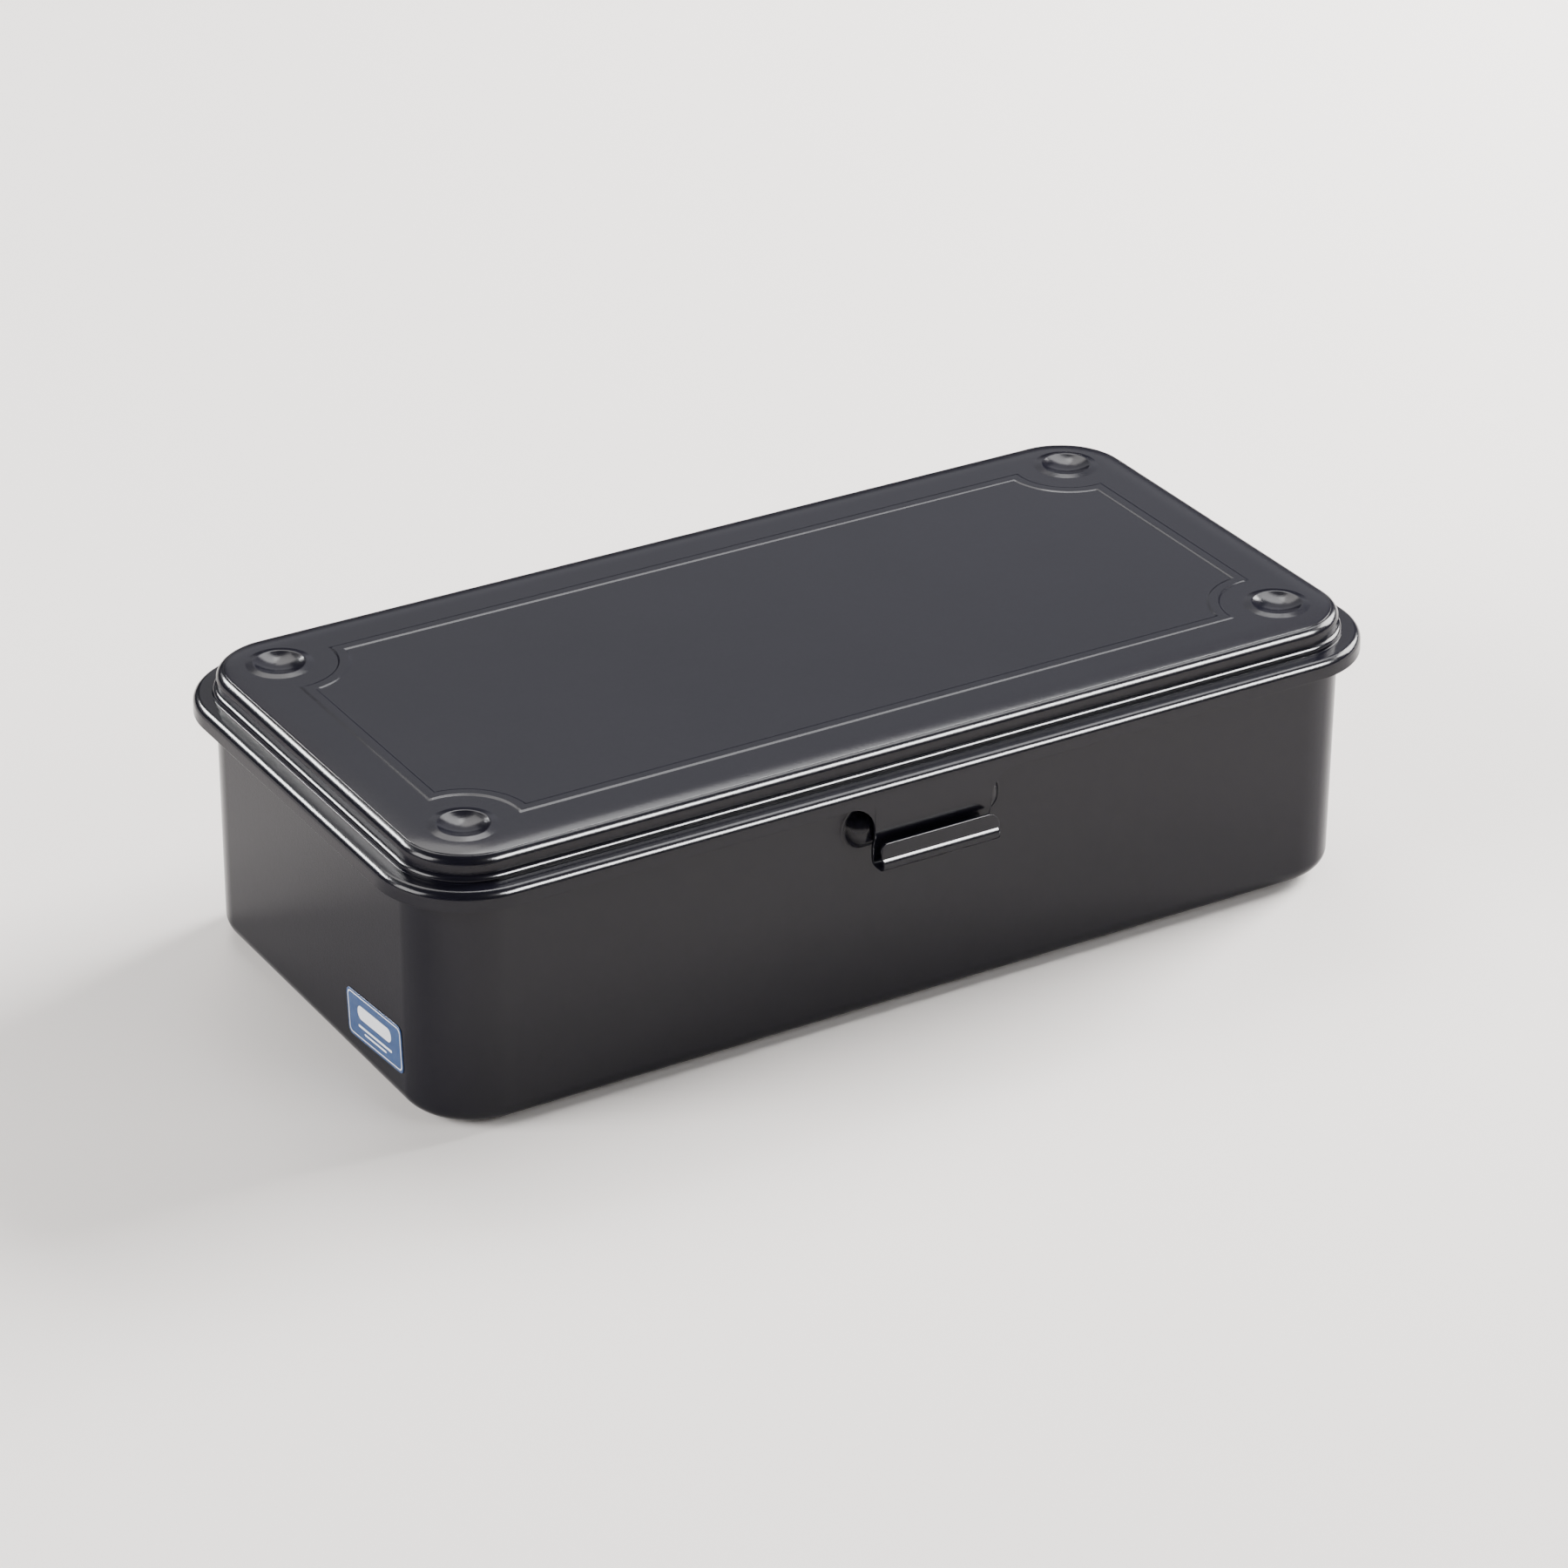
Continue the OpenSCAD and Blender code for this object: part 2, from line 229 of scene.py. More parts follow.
def makeOrangePeel():
    # two sizes of soft bumps, as sprayed and baked paint has; height is 0 to 1
    group, ins, outs = newGroup(
        "orangePeel", {"Vector": None, "Scale": 1500.0, "Coarse": 0.4}, {"Height": "NodeSocketFloat"}
    )
    fine = cloudy(group, ins["Vector"], ins["Scale"], grain["fineDetail"])
    wide = reckon(group, "MULTIPLY", ins["Scale"], grain["broadScale"])
    broad = cloudy(group, ins["Vector"], wide, grain["broadDetail"])
    weighted = reckon(group, "MULTIPLY", broad, ins["Coarse"])
    group.links.new(reckon(group, "ADD", fine, weighted), outs["Height"])
    return group


def makeMottle():
    # slow patches between two values
    group, ins, outs = newGroup(
        "mottle", {"Vector": None, "Scale": 30.0, "Low": 0.3, "High": 0.4}, {"Value": "NodeSocketFloat"}
    )
    cloud = cloudy(group, ins["Vector"], ins["Scale"], grain["patchDetail"])
    low, high = grain["patchRange"]
    sources = {"Value": cloud, "From Min": low, "From Max": high, "To Min": ins["Low"], "To Max": ins["High"]}
    group.links.new(addNode(group, "ShaderNodeMapRange", sources).outputs["Result"], outs["Value"])
    return group


def makeRoundPanel():
    # mask of a flat panel with round corners, drawn in the Y and Z of its vector
    group, ins, outs = newGroup(
        "roundPanel",
        {"Vector": None, "Across": 0.0, "Up": 0.0, "HalfWidth": 0.005, "HalfHeight": 0.002, "Corner": 0.001},
        {"Mask": "NodeSocketFloat"},
    )
    parts = addNode(group, "ShaderNodeSeparateXYZ", {"Vector": ins["Vector"]}).outputs
    past = []
    for axis, middle, half in (("Y", "Across", "HalfWidth"), ("Z", "Up", "HalfHeight")):
        offset = reckon(group, "ABSOLUTE", reckon(group, "SUBTRACT", parts[axis], ins[middle]))
        past.append(reckon(group, "ADD", reckon(group, "SUBTRACT", offset, ins[half]), ins["Corner"]))
    outside = [reckon(group, "MAXIMUM", side, 0.0) for side in past]
    squares = [reckon(group, "MULTIPLY", side, side) for side in outside]
    corner = reckon(group, "SQRT", reckon(group, "ADD", *squares))
    inside = reckon(group, "MINIMUM", reckon(group, "MAXIMUM", *past), 0.0)
    distance = reckon(group, "SUBTRACT", reckon(group, "ADD", corner, inside), ins["Corner"])
    soft = 0.03 * mm  # the ink's edge
    sources = {"Value": distance, "From Min": soft, "From Max": -soft, "To Min": 0.0, "To Max": 1.0}
    mask = addNode(group, "ShaderNodeMapRange", sources, interpolation_type="SMOOTHSTEP")
    group.links.new(mask.outputs["Result"], outs["Mask"])
    return group


groups = {"orangePeel": makeOrangePeel(), "mottle": makeMottle(), "roundPanel": makeRoundPanel()}


def place(tree, group, sources):
    node = tree.nodes.new("ShaderNodeGroup")
    node.node_tree = groups[group]
    for socket, source in sources.items():
        feed(tree, node.inputs[socket], source)
    return node.outputs


def mottled(tree, where, scale, span=(0.0, 1.0)):
    return place(tree, "mottle", {"Vector": where, "Scale": scale, "Low": span[0], "High": span[1]})["Value"]


def newMaterial(name):
    material = bpy.data.materials.new(name)
    material.use_nodes = True
    tree = material.node_tree
    where = tree.nodes.new("ShaderNodeTexCoord").outputs["Object"]
    return material, tree, tree.nodes["Principled BSDF"].inputs, where


def mixColours(tree, factor, under, over):
    # sockets 0, 6 and 7 of a colour mix are its factor and its two colours
    mix = addNode(tree, "ShaderNodeMix", data_type="RGBA")
    for index, source in ((0, factor), (6, under), (7, over)):
        feed(tree, mix.inputs[index], source)
    return mix.outputs[2]


def coat(tree, surface, where, look):
    # colour and gloss that change slowly, over a shallow orange peel
    patches = mottled(tree, where, look["patchScale"])
    feed(tree, surface["Base Color"], mixColours(tree, patches, look["colour"], look["worn"]))
    feed(tree, surface["Roughness"], mottled(tree, where, look["glossScale"], look["roughness"]))
    size = {"Vector": where, "Scale": look["peelScale"], "Coarse": look["peelCoarse"]}
    peel = place(tree, "orangePeel", size)["Height"]
    bump = addNode(tree, "ShaderNodeBump", {"Height": peel, "Strength": 1.0, "Distance": look["peelDepth"]})
    feed(tree, surface["Normal"], bump.outputs["Normal"])


# peelDepth is in metres; shine goes from front-on to grazing between the two shineFrom values
paint = {
    "colour": (0.0046, 0.0045, 0.0078, 1),
    "worn": (0.0053, 0.0051, 0.0086, 1),
    "patchScale": 42.0,
    "roughness": (0.175, 0.19),
    "glossScale": 90.0,
    "peelScale": 1500,
    "peelCoarse": 0.5,
    "peelDepth": 0.00001,
    "shine": (0.21, 0.08),
    "shineFrom": (0.25, 0.55),
    # height band of the painted shade on the step's foot, in millimetres
    "paintedShadeBand": 0.02,
}


def makePaint():
    material, tree, surface, where = newMaterial("satinBlackPaint")
    coat(tree, surface, where, paint)
    # satin paint loses most of its shine at low angles
    facing = addNode(tree, "ShaderNodeLayerWeight", {"Blend": 0.5}).outputs["Facing"]
    early, late = paint["shineFrom"]
    frontOn, grazing = paint["shine"]
    fall = {"Value": facing, "From Min": early, "From Max": late, "To Min": frontOn, "To Max": grazing}
    level = addNode(tree, "ShaderNodeMapRange", fall).outputs["Result"]
    # painted shade: the flat foot of the lid's step, which lies in its own shade, has its shine taken away so
    # that it stays dark
    height = addNode(tree, "ShaderNodeSeparateXYZ", {"Vector": where}).outputs["Z"]
    foot = (lid["ledgeZ"] + shellAt.z) * mm
    paintedShadeOnFoot = reckon(tree, "COMPARE", height, foot, paint["paintedShadeBand"] * mm)
    level = reckon(tree, "MULTIPLY", level, reckon(tree, "SUBTRACT", 1.0, paintedShadeOnFoot))
    feed(tree, surface["Specular IOR Level"], level)
    return material


steel = {
    "colour": (0.42, 0.42, 0.43, 1),
    "worn": (0.3, 0.3, 0.31, 1),
    "patchScale": 300.0,
    "roughness": (0.28, 0.42),
    "glossScale": 600.0,
    "peelScale": 4000.0,
    "peelCoarse": 0.3,
    "peelDepth": 0.000004,
}


def makeSteel():
    material, tree, surface, where = newMaterial("platedSteel")
    coat(tree, surface, where, steel)
    surface["Metallic"].default_value = 1
    return material


label = {
    "length": 21,
    "height": 9.2,
    "corner": 1.3,
    "tilt": 4.4,
    "edge": 0.05,
    "blue": (0.008, 0.048, 0.155, 1),
    "deepBlue": (0.006, 0.038, 0.13, 1),
    "white": (0.72, 0.74, 0.78, 1),
    "patchScale": 200.0,
    "roughness": (0.3, 0.4),
    "glossScale": 500.0,
    "borderInset": 0.45,
    "borderWidth": 0.2,
    "borderRound": 0.6,
    "bars": ((1.1, 6.4, 1.35, 1.3), (-1.75, 6.4, 0.24, 0.2), (-2.75, 4.2, 0.2, 0.2)),
    "cornerSteps": 6,
    "edgeSteps": 2,
}
labelAt = (labelLow + labelHigh) / 2


def makeLabelFilm():
    # blue film with a thin white border, a plain white bar and two thin lines
    material, tree, surface, where = newMaterial("printedFilm")
    sources = {
        "Vector": where,
        "Location": (labelHigh.x * mm, labelAt.y * mm, labelAt.z * mm),
        "Rotation": (-radians(label["tilt"]), 0, 0),
    }
    centred = addNode(tree, "ShaderNodeMapping", sources, vector_type="TEXTURE").outputs["Vector"]

    def panel(up, halfWidth, halfHeight, corner):
        # one bar: its height above the middle, its half sizes and its corner, in millimetres
        sizes = {"Vector": centred, "Up": up * mm, "HalfWidth": halfWidth * mm}
        sizes.update({"HalfHeight": halfHeight * mm, "Corner": corner * mm})
        return place(tree, "roundPanel", sizes)["Mask"]

    rings = []
    for inset in (label["borderInset"], label["borderInset"] + label["borderWidth"]):
        halfWidth = label["length"] / 2 - inset
        halfHeight = label["height"] / 2 - inset
        rings.append(panel(0, halfWidth, halfHeight, label["corner"] - inset * label["borderRound"]))
    ink = reckon(tree, "SUBTRACT", *rings)
    for bar in label["bars"]:
        ink = reckon(tree, "MAXIMUM", ink, panel(*bar))
    ground = mixColours(tree, mottled(tree, where, label["patchScale"]), label["blue"], label["deepBlue"])
    feed(tree, surface["Base Color"], mixColours(tree, ink, ground, label["white"]))
    feed(tree, surface["Roughness"], mottled(tree, where, label["glossScale"], label["roughness"]))
    return material


def makeFloor():
    material, tree, surface, where = newMaterial("paleFloor")
    surface["Base Color"].default_value = (*studio["floorColour"], 1)
    feed(tree, surface["Roughness"], mottled(tree, where, studio["floorPatches"], studio["floorRoughness"]))
    surface["Specular IOR Level"].default_value = 0
    return material


# sheet metal: every shell is drawn as its outer face and gets its thickness last
def vertsOf(geom):
    return [item for item in geom if isinstance(item, bmesh.types.BMVert)]


def edgesOf(geom):
    return [item for item in geom if isinstance(item, bmesh.types.BMEdge)]


def spinUp(bm, geom, middle, angle, steps, axis=(0, 0, 1)):
    # sweeps geometry round an axis and gives back its far end
    swept = bmesh.ops.spin(bm, geom=geom, cent=middle, axis=axis, angle=radians(angle), steps=steps)
    return swept["geom_last"]


def turnBy(bm, matrix):
    bmesh.ops.rotate(bm, verts=bm.verts[:], cent=(0, 0, 0), matrix=matrix)


def shift(bm, move):
    bmesh.ops.translate(bm, verts=bm.verts[:], vec=move)


def drawPath(bm, start, heading, moves, finest=shell["arcStep"]):
    # a pen line on the XY plane: each move is a straight, then a bend's radius and angle, and may end
    # with the number of pieces in the straight; finest is the largest step of a bend, in degrees
    tip = bm.verts.new((*start, 0))
    way = radians(heading)
    for length, radius, turn, *cuts in moves:
        pieces = cuts[0] if cuts else 1
        for piece in range(pieces if length else 0):
            tip = bmesh.ops.extrude_vert_indiv(bm, verts=[tip])["verts"][0]
            tip.co += Vector((cos(way), sin(way), 0)) * length / pieces
        if radius:
            middle = tip.co + copysign(radius, turn) * Vector((-sin(way), cos(way), 0))
            steps = max(2, round(abs(turn) / finest))
            tip = vertsOf(spinUp(bm, [tip], middle, turn, steps))[0]
        way += radians(turn)
    return tip


def closeDome(bm, tip, heading, finest):
    # the arc that brings a section to the axis at X = 0, square to it
    left = 180 - heading
    radius = abs(tip.co.x / sin(radians(left)))
    way = radians(heading)
    middle = tip.co + copysign(radius, left) * Vector((-sin(way), cos(way), 0))
    spinUp(bm, [tip], middle, left, max(3, round(abs(left) / finest)))


def standUp(bm):
    # a section drawn on the XY plane is turned up, its Y becoming height
    turnBy(bm, Matrix.Rotation(radians(90), 3, "X"))


def pull(bm, edges, move):
    # draws edges out into new faces and gives back their far edges
    drawn = bmesh.ops.extrude_edge_only(bm, edges=edges)["geom"]
    bmesh.ops.translate(bm, verts=vertsOf(drawn), vec=move)
    return edgesOf(drawn)


def endsOf(edges):
    # the edges' verts, each once and always in the same order
    return list(dict.fromkeys(vert for edge in edges for vert in edge.verts))


def swing(bm, edges, middle, axis, angle, steps):
    # draws edges round an axis and gives back their far edges
    return edgesOf(spinUp(bm, edges + endsOf(edges), middle, angle, steps, axis))


def turnRound(bm, steps):
    # a whole turn of a section about Z
    bmesh.ops.spin(
        bm, geom=bm.verts[:] + bm.edges[:], cent=(0, 0, 0), axis=(0, 0, 1), angle=2 * pi, steps=steps,
        use_merge=True
    )
    bmesh.ops.remove_doubles(bm, verts=bm.verts[:], dist=weldSection)


def mirrorAll(bm, axes):
    for axis in axes:
        everything = bm.verts[:] + bm.edges[:] + bm.faces[:]
        bmesh.ops.mirror(bm, geom=everything, matrix=Matrix.Identity(4), merge_dist=near, axis=axis)


def wrapAround(bm, halfL, halfW, radius):
    # sweeps a section, its X measured from the corner's axis, round all four sides
    corner = Vector((halfL - radius, halfW - radius, 0))
    section = bm.edges[:]
    shift(bm, corner)
    pull(bm, section, (0, -corner.y, 0))
    atEnd = swing(bm, section, corner, (0, 0, 1), 90, round(90 / shell["arcStep"]))
    pull(bm, atEnd, (-corner.x, 0, 0))
    mirrorAll(bm, "XY")


def cutAt(bm, axis, places, pick=None):
    # cuts the picked faces, or all of them, square to an axis
    normal = Vector([axis == letter for letter in "XYZ"])
    for at in places:
        faces = [face for face in bm.faces if pick is None or pick(face)]
        geom = dict.fromkeys(faces)
        for face in faces:
            geom.update(dict.fromkeys([*face.edges, *face.verts]))
        bmesh.ops.bisect_plane(bm, geom=list(geom), dist=flatNear, plane_co=normal * at, plane_no=normal)


def edgesAt(bm, test):
    return [edge for edge in bm.edges if all(test(vert.co) for vert in edge.verts)]


def fillBetween(bm, test, normal):
    # fills the flat ground between the open loops that pass the test
    loops = [edge for edge in edgesAt(bm, test) if edge.is_boundary]
    bmesh.ops.triangle_fill(bm, edges=loops, use_beauty=True, use_dissolve=False, normal=normal)


def addTo(bm, part):
    # joins a part drawn on its own into the piece
    carrier = bpy.data.meshes.new("carrier")
    part.to_mesh(carrier)
    part.free()
    bm.from_mesh(carrier)
    bpy.data.meshes.remove(carrier)


bevels = {"segments": 2, "sharperThan": 50}


def finishPiece(bm, name, material, body, replaced, thick=0.0, edge=0.0, facesOut=None, move=shellAt):
    # facesOut tells whether the sheet's faces look out; the thickness grows inwards from them
    bmesh.ops.remove_doubles(bm, verts=bm.verts[:], dist=weldPiece)
    bmesh.ops.dissolve_degenerate(bm, dist=flatNear, edges=bm.edges[:])
    bmesh.ops.recalc_face_normals(bm, faces=bm.faces[:])
    if facesOut is not None and not facesOut(bm):
        bmesh.ops.reverse_faces(bm, faces=bm.faces[:])
    for face in bm.faces:
        face.smooth = True
    shift(bm, move)
    bmesh.ops.scale(bm, verts=bm.verts[:], vec=(mm, mm, mm))
    mesh = bpy.data.meshes.new(name)
    bm.to_mesh(mesh)
    bm.free()
    mesh.materials.append(material)
    piece = bpy.data.objects.new(name, mesh)
    bpy.context.scene.collection.objects.link(piece)
    if thick:
        wall = piece.modifiers.new("thickness", "SOLIDIFY")
        wall.thickness = thick * mm
        wall.offset = -1
        wall.use_even_offset = True
    if edge:
        soft = piece.modifiers.new("softEdges", "BEVEL")
        soft.width = edge * mm
        soft.segments = bevels["segments"]
        soft.limit_method = "ANGLE"
        soft.angle_limit = radians(bevels["sharperThan"])
        soft.use_clamp_overlap = False
    piece.modifiers.new("evenShading", "WEIGHTED_NORMAL").keep_sharp = True
    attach(piece, body)
    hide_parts(*replaced)
    print(name, "is built from", len(mesh.polygons), "faces")


def mostlyUp(bm):
    return sum(face.normal.z * face.calc_area() for face in bm.faces) > 0


def mostlyDown(bm):
    return not mostlyUp(bm)


# the lid: skirt, ledge, step, crowned top with dimples and frame, front tab and rear knuckles
lid = {
    "skirtZ": 45.1,
    "ledgeZ": 48.6,
    "skirtShoulder": 1.5,
    "skirtFlare": 2,
    "stepInset": 3.6,
    "stepHeight": 1.4,
    "stepRadius": 1.0,
    "hollow": 0.12,
    "topInset": 4.4,
    "topEdgeZ": 53.2,
    "topShoulder": 1.75,
    "crownSlope": 11,
    "crownRise": 0.4,
    "arcStep": 6,
    "edge": 0.1,
}
lidCorner = shell["cornerRadius"] + shell["overhang"]
crownRadius = lid["crownRise"] / (1 - cos(radians(lid["crownSlope"])))
crownSpan = crownRadius * sin(radians(lid["crownSlope"]))
shoulderEnd = lid["topInset"] + lid["topShoulder"] * (1 - sin(radians(lid["crownSlope"])))
shoulderEndZ = lid["topEdgeZ"] - lid["topShoulder"] * (1 - cos(radians(lid["crownSlope"])))
topZ = shoulderEndZ + lid["crownRise"]
dimple = {
    "ringRadius": 6.3,
    "rim": 0.3,
    "rise": 0.26,
    "footRadius": 0.5,
    "slope": 11,
    "crestRadius": 0.66,
    "bowlSlope": 27,
    "patch": 9.0,
    "patchCuts": 14,
    "besideCuts": 9,
    "rings": 5,
    "arcStep": 5,
    "bowlStep": 4,
}
framing = {
    "halfL": 86.5,
    "halfW": 36.75,
    "width": 2.8,
    "scallop": 10.3,
    "scallopSteps": 20,
    "bend": 0.9,
    "slope": 24,
    "margin": 0.15,
    "clearance": 0.2,
    "arcStep": 8,
}


def drawSkirtToShoulder():
    # the section from the skirt's lower edge over the ledge and the step to the top's shoulder
    ring = bmesh.new()
    hollow = lid["hollow"]
    stepTop = lid["stepHeight"] - hollow - lid["stepRadius"]
    wallFoot = lid["ledgeZ"] + lid["stepHeight"] + hollow
    moves = [
        (lid["ledgeZ"] - lid["skirtZ"] - lid["skirtShoulder"], lid["skirtShoulder"], 90 - lid["skirtFlare"]),
        (lid["stepInset"] - lid["skirtShoulder"] - hollow, hollow, -90),
        (stepTop, lid["stepRadius"], 90),
        (0, hollow, -90),
        (lid["topEdgeZ"] - lid["topShoulder"] - wallFoot, lid["topShoulder"], 90 - lid["crownSlope"]),
    ]
    tip = drawPath(ring, (lidCorner, lid["skirtZ"]), 90 + lid["skirtFlare"], moves, lid["arcStep"])
    # the wall above the step moves to where its shoulder meets the top
    slip = lidCorner - shoulderEnd - tip.co.x
    stepEdge = lidCorner - lid["stepInset"] - lid["stepRadius"]
    for vert in ring.verts:
        if vert.co.y > wallFoot - hollow - near and vert.co.x < stepEdge + near:
            vert.co.x += slip
    standUp(ring)
    wrapAround(ring, skirtHalfL, skirtHalfW, lidCorner)
    return ring


def sectionPoints(start, heading, moves, finest, dome=None):
    # a drawn section as places along its way inwards
    section = bmesh.new()
    tip = drawPath(section, start, heading, moves, finest)
    if dome is not None:
        closeDome(section, tip, dome, dimple["bowlStep"])
    points = sorted((vert.co.x, vert.co.y) for vert in section.verts)
    section.free()
    return points


def dimpleRings():
    # radius and height of each ring from the dimple's rim to the middle of its bowl
    slope = dimple["slope"]
    bends = (dimple["footRadius"] + dimple["crestRadius"]) * (1 - cos(radians(slope)))
    straight = (dimple["rise"] - bends) / sin(radians(slope))
    moves = [
        (dimple["rim"], dimple["footRadius"], -slope),
        (straight, dimple["crestRadius"], slope + dimple["bowlSlope"]),
    ]
    start = (dimple["ringRadius"] + dimple["rim"], 0)
    points = sectionPoints(start, 180, moves, dimple["arcStep"], 180 + dimple["bowlSlope"])
    return points[::-1]


def crownDrop(spot):
    # how far the top has fallen towards its shoulder at a spot
    radius = lidCorner - shoulderEnd
    dx = abs(spot.x) - (skirtHalfL - lidCorner)
    dy = abs(spot.y) - (skirtHalfW - lidCorner)
    outside = hypot(max(dx, 0), max(dy, 0)) + min(max(dx, dy), 0) - radius
    past = max(0, crownSpan + outside)
    return crownRadius - sqrt(max(0, crownRadius ** 2 - past ** 2))


def drawTopEdge():
    # a patch round each dimple out to the shoulder, with straight strips between the patches;
    # also gives back where the skirt and the step are cut so that their edges meet
    reach = dimple["patch"]
    cuts = dimple["patchCuts"]
    halfL = skirtHalfL - shoulderEnd
    halfW = skirtHalfW - shoulderEnd
    cutX = stackX - reach
    cutY = stackY - reach
    beside = skirtHalfL - lidCorner - cutX  # straight stretch between the patch's edge and the corner's arc
    top = bmesh.new()
    moves = [
        (halfW - stackY, reach, 90, cuts),
        (halfL - stackX, 0, 90, cuts),
        (beside, lidCorner - shoulderEnd, 90, dimple["besideCuts"]),
        (beside, 0, 0, dimple["besideCuts"]),
    ]
    drawPath(top, (cutX, halfW), 270, moves)
    bmesh.ops.remove_doubles(top, verts=top.verts[:], dist=weldPiece)
    loop = top.edges[:]
    centre = Vector((stackX, stackY, 0))
    for left in range(dimple["rings"], 0, -1):
        loop = pull(top, loop, (0, 0, 0))
        for vert in endsOf(loop):
            onRim = centre + (vert.co - centre).normalized() * (dimple["ringRadius"] + dimple["rim"])
            vert.co = vert.co.lerp(onRim, 1 / left)
    for radius, height in dimpleRings()[1:]:
        loop = pull(top, loop, (0, 0, 0))
        for vert in endsOf(loop):
            arm = (vert.co - centre) * Vector((1, 1, 0))
            vert.co = centre + arm.normalized() * max(0, radius) + Vector((0, 0, height))
    bmesh.ops.remove_doubles(top, verts=top.verts[:], dist=weldPiece)
    clear = framing["margin"] + framing["clearance"]
    sideX = edgesAt(top, lambda c: same(c.x, cutX) and c.y > framing["halfW"] + clear)
    sideY = edgesAt(top, lambda c: same(c.y, cutY) and c.x > framing["halfL"] + clear)
    pull(top, sideX, (-cutX, 0, 0))
    pull(top, sideY, (0, -cutY, 0))
    mirrorAll(top, "XY")
    for vert in top.verts:
        vert.co.z += topZ - crownDrop(vert.co)
    steps = [beside * step / dimple["besideCuts"] for step in range(dimple["besideCuts"])]
    return top, [cutX + step for step in steps], [cutY + step for step in steps]


def bandSection():
    # inset and height of each line of the raised band
    bend = framing["bend"]
    slope = framing["slope"]
    flat = framing["width"] - 4 * bend * sin(radians(slope))
    edge = framing["margin"]
    moves = [(edge, bend, slope), (0, bend, -slope), (flat, bend, -slope), (0, bend, slope), (edge, 0, 0)]
    return sectionPoints((-edge, 0), 0, moves, framing["arcStep"])


def drawFraming():
    # the raised band, its corners scooped out round the dimples
    band = bmesh.new()
    before = []
    for inset, rise in bandSection():
        radius = framing["scallop"] + inset
        side = framing["halfW"] - inset - stackY
        far = framing["halfL"] - inset - stackX
        first = band.verts.new((stackX - sqrt(radius ** 2 - side ** 2), stackY + side, topZ + rise))
        sweep = 90 + degrees(asin(side / radius) + asin(far / radius))
        middle = (stackX, stackY, topZ + rise)
        last = vertsOf(spinUp(band, [first], middle, sweep, framing["scallopSteps"]))[0]
        for end, stay in ((first, (0, 1, 1)), (last, (1, 0, 1))):
            reach = bmesh.ops.extrude_vert_indiv(band, verts=[end])["verts"][0]
            reach.co *= Vector(stay)
        line = [edge for edge in band.edges if not edge.link_faces and edge not in before]
        if before:
            bmesh.ops.bridge_loops(band, edges=before + line)
        before = line
    mirrorAll(band, "XY")
    return band


tab = {
    "halfW": 12.2,
    "fillet": 5,
    "straight": 1.2,
    "ease": 3.0,
    "easeBack": 0.65,
    "curl": ((1.7, 0.85, -90), (1.48, 0.85, -135), (0, 1.0, 40), (2.76, 0, 0)),
    "lipCorners": {-1: 1.2, 1: 2.2},
    "cornerStep": 15,
    "curlStep": 6,
}


def follow(bm, edges, heading, moves):
    # draws edges along straights and bends in the YZ plane, the heading measured from Y towards Z
    way = radians(heading)
    for length, radius, turn in moves:
        if length:
            edges = pull(bm, edges, Vector((0, cos(way), sin(way))) * length)
        if radius:
            middle = edges[0].verts[0].co + copysign(radius, turn) * Vector((0, -sin(way), cos(way)))
            edges = swing(bm, edges, middle, (1, 0, 0), turn, max(2, round(abs(turn) / tab["curlStep"])))
        way += radians(turn)
    return edges


def onSkirt(side):
    # picks the skirt's flat face and its shoulder at the front or the back
    def pick(face):
        middle = face.calc_center_median()
        return side * middle.y > skirtHalfW - lid["skirtShoulder"] and middle.z < lid["ledgeZ"] - near

    return pick


def addTab(bm):
    front = -skirtHalfW
    half = tab["halfW"]
    fillet = tab["fillet"]
    quarter = [1 - cos(radians(angle)) for angle in range(0, 91, tab["cornerStep"])]
    for side, corner in tab["lipCorners"].items():
        columns = [half + fillet * part for part in quarter] + [half - corner * part for part in quarter[1:]]
        cutAt(bm, "X", [side * column for column in columns], onSkirt(-1))
    root = half + fillet + near
    low = lid["skirtZ"]
    lower = edgesAt(bm, lambda c: same(c.z, low) and same(c.y, front) and abs(c.x) < root)
    hung = pull(bm, lower, (0, 0, 0))
    for vert in endsOf(hung):
        out = max(0, abs(vert.co.x) - half)
        vert.co.z = low - fillet + sqrt(max(0, fillet ** 2 - (fillet - out) ** 2))
    edges = [edge for edge in hung if all(abs(vert.co.x) < half + near for vert in edge.verts)]
    # the tab eases back towards the wall, then curls forward and up into the lip
    easing = degrees(2 * atan2(tab["easeBack"], tab["ease"]))
    radius = tab["ease"] / 2 / sin(radians(easing))
    eased = ((tab["straight"], radius, easing), (0, radius, -easing))
    edges = follow(bm, edges, -90, eased + tab["curl"])
    for vert in endsOf(edges):
        corner = tab["lipCorners"][1 if vert.co.x > 0 else -1]
        out = max(0, abs(vert.co.x) - half + corner)
        vert.co.z -= corner - sqrt(max(0, corner ** 2 - out ** 2))


hinge = {
    "at": 62,
    "pinRadius": 0.8,
    "lidKnuckleHalf": 5,
    "roll": 262,
    "rollSteps": 36,
    "knuckleGap": 0.3,
    "sideKnuckle": 6,
    "leafSheet": 0.8,
    "leafBelowPin": 12,
    "leafCorner": 2.2,
    "leafCornerSteps": 6,
    "leafEdge": 0.12,
    "slitBelowPin": 4.4,
    "bend": 0.35,
    "bendSteps": 5,
    "stopTopBelowPin": 2.2,
    "stopReach": 1.9,
    "pinOverhang": 0.5,
    "pinEdge": 0.2,
    "pinEdgeStep": 30,
    "pinSteps": 40,
    "rivetX": 7,
    "rivetAbovePlate": 3.2,
}


